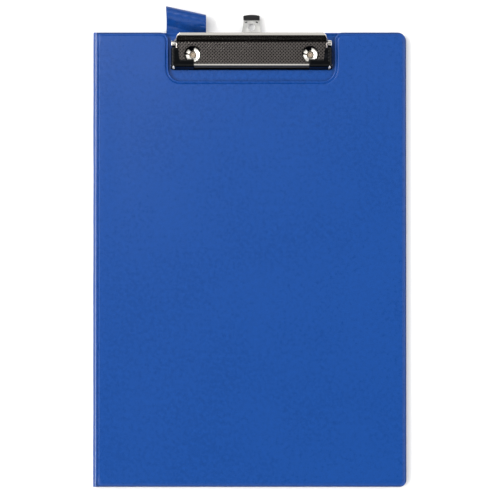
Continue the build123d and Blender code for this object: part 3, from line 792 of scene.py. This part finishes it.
middle = np.stack((x, y, z), axis=-1)
lever_points = np.concatenate((lever_side(-1)[:, ::-1], middle, lever_side(1)), axis=1)
shape = lever_points.shape[:2]
lever_points = lever_points.reshape(-1, 3).copy()
lever_faces = grid_faces(*shape)
gone = np.zeros(len(lever_faces), bool)
for side in (-1, 1):
    hole = np.array([clip_x + side * rivet_x, rivet_y])
    inward = np.linalg.norm(lever_points[lever_faces].mean(axis=1)[:, :2] - hole, axis=1) < access_r
    inward &= lever_points[lever_faces].mean(axis=1)[:, 2] > pivot_z
    edge = np.intersect1d(lever_faces[inward], lever_faces[~inward])
    off = lever_points[edge, :2] - hole
    lever_points[edge, :2] = hole + off * access_r / np.linalg.norm(off, axis=1)[:, None]
    on_top = (top[:, 0] > 141 * mm) & (top[:, 0] < 160 * mm)
    lever_points[edge, 2] = np.interp(lever_points[edge, 1], top[on_top, 0], top[on_top, 1])
    gone |= inward
lever_faces = lever_faces[~gone]


def embossing(x, y):
    """Height of the crossed ridges: a bell across each diagonal line, faded out at the panel's borders."""
    height = np.zeros(x.shape)
    for direction in (-1, 1):
        off = ((x - clip_x + direction * y) / ridge_pitch) % 1 - 0.5
        height = np.maximum(height, np.exp(-((off / 0.2) ** 2)))
    border = smooth(y, *ridge_front) * (1 - smooth(y, *ridge_rear))
    border = border * (1 - smooth(np.abs(x - clip_x), 51.2 * mm, 52 * mm))
    for side in (-1, 1):
        radius = np.hypot(x - clip_x - side * rivet_x, y - rivet_y)
        border = border * smooth(radius, access_r + 0.3 * mm, access_r + 0.9 * mm)
    crease = np.exp(-(((y - 161.3 * mm) / (0.4 * mm)) ** 2))
    crease = crease * (1 - smooth(np.abs(x - clip_x), 49 * mm, 51 * mm))
    return ridge_h * height * border + 0.015 * mm * crease


raised = lever_points[:, 2] > pivot_z + 1 * mm
lift = embossing(lever_points[:, 0], lever_points[:, 1]) * raised
on_panel = np.abs(lever_points[:, 0] - clip_x) < lever_half_w - roll_r.max()
lever_points[:, 2] += lift * on_panel


def panel_finish():
    """Plating with painted shade between the flat's ridges and in the bend behind it. The jaw's front face is
    painted dark as shade, and its toe black as painted shadow."""
    finish, shader, place = new_finish("lever_plate")
    x, y = (place.node("SeparateXYZ", {}, {0: place}, out=i) for i in range(2))
    flat = y.step(*flat_front) * (1 - y.step(*flat_rear))
    # Painted shade in the bend behind the flat.
    fold_shade = y.step(*fold_front) * (1 - y.step(*fold_rear))
    ways = [place.maths("FRACT", (x - clip_x + y * way) / ridge_pitch) - 0.5 for way in (-1, 1)]
    near = place.maths("MINIMUM", *(place.maths("ABSOLUTE", off) for off in ways))
    # Painted shade: the valleys between the ridges are darkened.
    valley_shade = near.step(0.12, 0.3) * flat
    stretched = place.node("Mapping", {}, {"Vector": place, "Scale": (60, 1600, 1600)})
    lines = place.node("TexNoise", {}, {"Vector": stretched, "Scale": 1, "Detail": 4})
    patches = place.node("TexNoise", {}, {"Vector": place, "Scale": 70, "Detail": 3})
    # Painted shade: the jaw's front face is darkened and made duller.
    front = 1 - y.step(*face_edge)
    # Painted shadow: black ahead of the toe's edge.
    toe_shadow = 1 - y.step(*toe_edge)
    tone = flat.blend(rgba(nickel), (0.60, 0.545, 0.52, 1))
    tone = valley_shade.blend(tone, (0.045, 0.041, 0.04, 1))
    tone = fold_shade.blend(tone, (0.03, 0.028, 0.028, 1))
    tone = front.blend(tone, (0.040, 0.041, 0.044, 1))
    tone = toe_shadow.blend(tone, (0.001, 0.001, 0.0015, 1))
    rough = 0.06 + lines * 0.04 + patches * 0.04 + flat * 0.05 + front * 0.4
    metal = 1 - front * 0.8 + toe_shadow * 0.8
    relief = place.node("Bump", {}, {"Strength": 0.25, "Distance": 0.01 * mm, "Height": lines})
    set_inputs(finish, shader, Base_Color=tone, Metallic=metal, Roughness=rough, Normal=relief)
    return finish


lever = new_piece("lever_plate", lever_points, lever_faces, panel_finish(), "lever",
                  ["pressure_lever"], sharp=60, closed=False)
thicken = lever.modifiers.new("sheet", "SOLIDIFY")
thicken.thickness = sheet
thicken.offset = -1
thicken.use_rim = True
solid = bpy.data.meshes.new_from_object(lever.evaluated_get(bpy.context.evaluated_depsgraph_get()))
lever.modifiers.clear()
lever.data = solid
solid.set_sharp_from_angle(angle=math.radians(35))

# Corner grips: black rubber shoes pushed over the jaw's two front corners, each with an arm along the jaw's
# end. They are moulded with rounded edges and a row of small ribs along the outer corner. The bright spot at
# each front corner is a painted highlight in the rubber's finish, standing for the jaw's steel corner; it is
# not an opening.
grip_t = 1.25 * mm
grip_edge_t = 0.72 * mm
grip_inner = 42.2 * mm
grip_outer = 59.15 * mm
arm_from = 53.0 * mm
sleeve_rear_y = 146.8 * mm
grip_round = 0.55 * mm
grip_roll = 2.1 * mm
rib_pitch = 2.35 * mm
rib_h = 0.3 * mm

rubber, shader, place = new_finish("black_rubber", Specular_IOR_Level=0.2)
matt = place.node("TexNoise", {}, {"Vector": place, "Scale": 900, "Detail": 4})
dust = place.node("TexNoise", {}, {"Vector": place, "Scale": 90, "Detail": 3}).step(0.55, 0.75)
black = dust.blend((0.0015, 0.002, 0.003, 1), (0.005, 0.006, 0.009, 1))
x, y, z = (place.node("SeparateXYZ", {}, {0: place}, out=i) for i in range(3))
# Painted highlight: a small bright patch on the rubber at each front corner.
off_x = place.maths("ABSOLUTE", place.maths("ABSOLUTE", x - clip_x) - 57.3 * mm)
off_y = place.maths("ABSOLUTE", y - 140.7 * mm)
corner = (1 - (off_x / 1.1 + off_y / 1.7).step(0.75 * mm, 1 * mm)) * z.step(5.5 * mm, 5.8 * mm)
black = corner.blend(black, (0.80, 0.81, 0.84, 1))
moulded = place.node("Bump", {}, {"Strength": 0.4, "Distance": 0.02 * mm, "Height": matt})
set_inputs(rubber, shader, Base_Color=black, Roughness=0.16 + matt * 0.1 + dust * 0.12, Normal=moulded)

grip_line = lever_line[:4].copy()
grip_line[0] = (140.85 * mm, 5.4 * mm)
grip_rows, grip_normals = walk(bent_line(grip_line, bend_radii), 0.2 * mm)
grip_length = np.concatenate(([0], np.cumsum(np.linalg.norm(np.diff(grip_rows, axis=0), axis=1))))


def grip_section(out):
    """Closed section of a grip at a distance out from the clip's middle: a band round the sheet, from a
    round nose to a round rear end. The rear end steps back at the arm, the band thins at both ends,
    and beyond the jaw's end it hangs down as a flange."""
    arm_share = smooth(out, arm_from - 0.5 * mm, arm_from + 0.9 * mm)
    rear_y = sleeve_rear_y + (jaw_rear_y - sleeve_rear_y) * arm_share
    end = np.interp(rear_y - grip_t, grip_rows[:, 0], grip_length)
    at = np.linspace(0, end, 64)
    line = np.column_stack([np.interp(at, grip_length, grip_rows[:, i]) for i in range(2)])
    normal = np.column_stack([np.interp(at, grip_length, grip_normals[:, i]) for i in range(2)])
    edge = np.clip((out - grip_inner) / grip_round, 0, 1)
    thick = grip_edge_t + (grip_t - grip_edge_t) * math.sqrt(1 - (1 - edge) ** 2)
    roll = grip_roll - math.sqrt(grip_roll**2 - max(out - grip_outer + grip_roll, 0) ** 2)
    rib = np.clip(np.cos(2 * math.pi * line[:, 0] / rib_pitch), 0, 1)
    rib = rib * smooth(line[:, 0], 144.6 * mm, 145.4 * mm)
    ribbed = float(smooth(out, 56.4 * mm, 56.8 * mm) * (1 - smooth(out, 58.2 * mm, 58.7 * mm)))
    upper = line + normal * (thick - roll + rib_h * rib * ribbed)[:, None]
    lower = line - normal * thick
    fall = float(smooth(out, 57.2 * mm, 57.6 * mm))
    flange = np.interp(lower[:, 0], (jaw_foot_y, jaw_rear_y), (4.15 * mm, 6.3 * mm))
    lower[:, 1] += fall * (np.minimum(flange, lower[:, 1]) - lower[:, 1])
    swing = np.linspace(0, math.pi, 9)[1:-1, None]

    def cap(first, last, outward):
        centre = (first + last) / 2
        return centre + (first - centre) * np.cos(swing) + outward * thick * np.sin(swing)

    ahead = (line[-1] - line[-2]) / np.linalg.norm(line[-1] - line[-2])
    nose = cap(lower[0], upper[0], (line[0] - line[1]) / np.linalg.norm(line[1] - line[0]))
    tail = cap(upper[-1], lower[-1], ahead)
    return np.concatenate((upper, tail, lower[::-1], nose))


near_ribs = np.linspace(55.9, 58.9, 16)
grip_out = np.concatenate((
    grip_inner + grip_round * (1 - np.cos(np.linspace(0, math.pi / 2, 6))),
    np.linspace(44, 52, 6) * mm,
    np.linspace(52.4, 54.2, 13) * mm,
    near_ribs * mm,
    grip_outer - 0.22 * mm * np.cos(np.linspace(0.3, math.pi / 2, 5)),
))
for side, name in ((-1, "left"), (1, "right")):
    sections = np.array([grip_section(out) for out in grip_out])
    x = np.broadcast_to((clip_x + side * grip_out)[:, None], sections.shape[:2])
    points = np.concatenate((x[..., None], sections), axis=-1)
    faces = tube_faces(*sections.shape[:2])
    new_piece(f"corner_grip_{name}", points, faces, rubber, "lever", [f"grip_{name}"])

# Hanging tab: a plain steel tongue that slides out of the bridge, satin from its barrel plating, with
# a black moulded finger tip. Both keep their own shape.
tab_steel, shader, place = new_finish("satin_tab", Metallic=1.0)
pulled = place.node("Mapping", {}, {"Vector": place, "Scale": (1400, 70, 1400)})
drags = place.node("TexNoise", {}, {"Vector": pulled, "Scale": 1, "Detail": 4})
smears = place.node("TexNoise", {}, {"Vector": place, "Scale": 160, "Detail": 3})
tab_tone = smears.step(0.3, 0.7).blend((0.42, 0.42, 0.41, 1), (0.66, 0.66, 0.645, 1))
tab_relief = place.node("Bump", {}, {"Strength": 0.5, "Distance": 0.02 * mm, "Height": drags})
set_inputs(tab_steel, shader, Base_Color=tab_tone, Roughness=0.42 + smears * 0.16, Normal=tab_relief)
dress("hanging_tab", tab_steel)

tip_plastic, shader, place = new_finish("black_tip", Specular_IOR_Level=0.2)
orange_peel = place.node("TexNoise", {}, {"Vector": place, "Scale": 1300, "Detail": 2})
tip_tone = orange_peel.blend((0.006, 0.006, 0.007, 1), (0.014, 0.014, 0.015, 1))
tip_relief = place.node("Bump", {}, {"Strength": 0.4, "Distance": 0.02 * mm, "Height": orange_peel})
set_inputs(tip_plastic, shader, Base_Color=tip_tone, Roughness=0.35 + orange_peel * 0.1, Normal=tip_relief)
dress("hanging_tab_tip", tip_plastic)

# Studio: a wide white floor under a soft dome. A bright soft light stands on the left in it and a weak one
# on the right; it is dark overhead, and low in front, which is what the clip's flat metal mirrors.
floor_half = 4.0
floor_z = -0.05 * mm
floor_signs = ((-1, -1), (1, -1), (1, 1), (-1, 1))
floor_corners = [(a * floor_half, b * floor_half, floor_z) for a, b in floor_signs]
floor_mesh = bpy.data.meshes.new("studio_floor")
floor_mesh.from_pydata(floor_corners, [], [(0, 1, 2, 3)])
floor = bpy.data.objects.new("studio_floor", floor_mesh)
bpy.context.scene.collection.objects.link(floor)
paper, shader, place = new_finish("white_paper", Roughness=0.8, Base_Color=(0.9, 0.9, 0.9, 1),
                                  Emission_Color=(1, 1, 1, 1), Emission_Strength=0.15)
floor_mesh.materials.append(paper)

dome = bpy.data.worlds.new("studio_dome")
bpy.context.scene.world = dome
dome.use_nodes = True
sky = Socket(dome.node_tree)
direction = sky.node("TexCoord", {}, {}, out=0)
x, y, z = (sky.node("SeparateXYZ", {}, {0: direction}, out=i) for i in range(3))
overhead = (z * 0.985 + x * 0.09 - y * 0.13).step(0.925, 0.965)
front = (0 - y).step(0.5, 0.8) * (1 - z.step(0.34, 0.48)) * z.step(-0.25, -0.1)
behind = y.step(0.35, 0.75) * (1 - z.step(0.35, 0.6)) * z.step(-0.25, -0.1)
out = sky.maths("ABSOLUTE", x)
away = sky.maths("ABSOLUTE", y)
sides = out.step(0.52, 0.60) * (1 - out.step(0.70, 0.78)) * (1 - away.step(0.45, 0.65)) * z.step(0.2, 0.3)
brightness = 0.78 * (1 - overhead * 0.84) * (1 - front * 0.995) * (1 - behind * 0.8)
brightness = brightness + sides * (7.5 - x.step(-0.1, 0.1) * 5.5)
backdrop = dome.node_tree.nodes["Background"]
dome.node_tree.links.new(brightness.end, backdrop.inputs["Strength"])
backdrop.inputs["Color"].default_value = (1, 0.995, 0.985, 1)

lamps = (
    ("soft_key", 2, 0.9, (-0.8, -1.1, 1.4)),
    ("soft_top", 5, 0.6, (-0.45, 0.55, 1.6)),
)
for name, energy, size, stand in lamps:
    lamp = bpy.data.lights.new(name, "AREA")
    lamp.energy = energy
    lamp.size = size
    light = bpy.data.objects.new(name, lamp)
    bpy.context.scene.collection.objects.link(light)
    light.location = stand
    light.rotation_mode = "QUATERNION"
    light.rotation_quaternion = (-Vector(stand)).to_track_quat("-Z", "Y")

# Camera: far off and almost straight above, leaning a little towards the folder's foot. One pixel of the
# 500 is 0.7337 mm on the front cover, and the folder's middle is at pixel (249.55, 259.4).
pixel = 0.7337 * mm
image_px = 500
middle_px = (249.55, 259.4)
distance = 2.2
lean = math.radians(1.0)
cover_z = front_high.z
aim = Vector(((image_px / 2 - middle_px[0]) * pixel, (middle_px[1] - image_px / 2) * pixel, cover_z))
lens = bpy.data.cameras.new("studio_camera")
camera = bpy.data.objects.new("studio_camera", lens)
bpy.context.scene.collection.objects.link(camera)
camera.location = aim + distance * Vector((0, -math.sin(lean), math.cos(lean)))
camera.rotation_euler = (lean, 0, 0)
lens.sensor_width = 36
lens.lens = lens.sensor_width * distance / (image_px * pixel)
lens.clip_end = 20
bpy.context.scene.camera = camera
bpy.context.scene.view_settings.view_transform = "Standard"
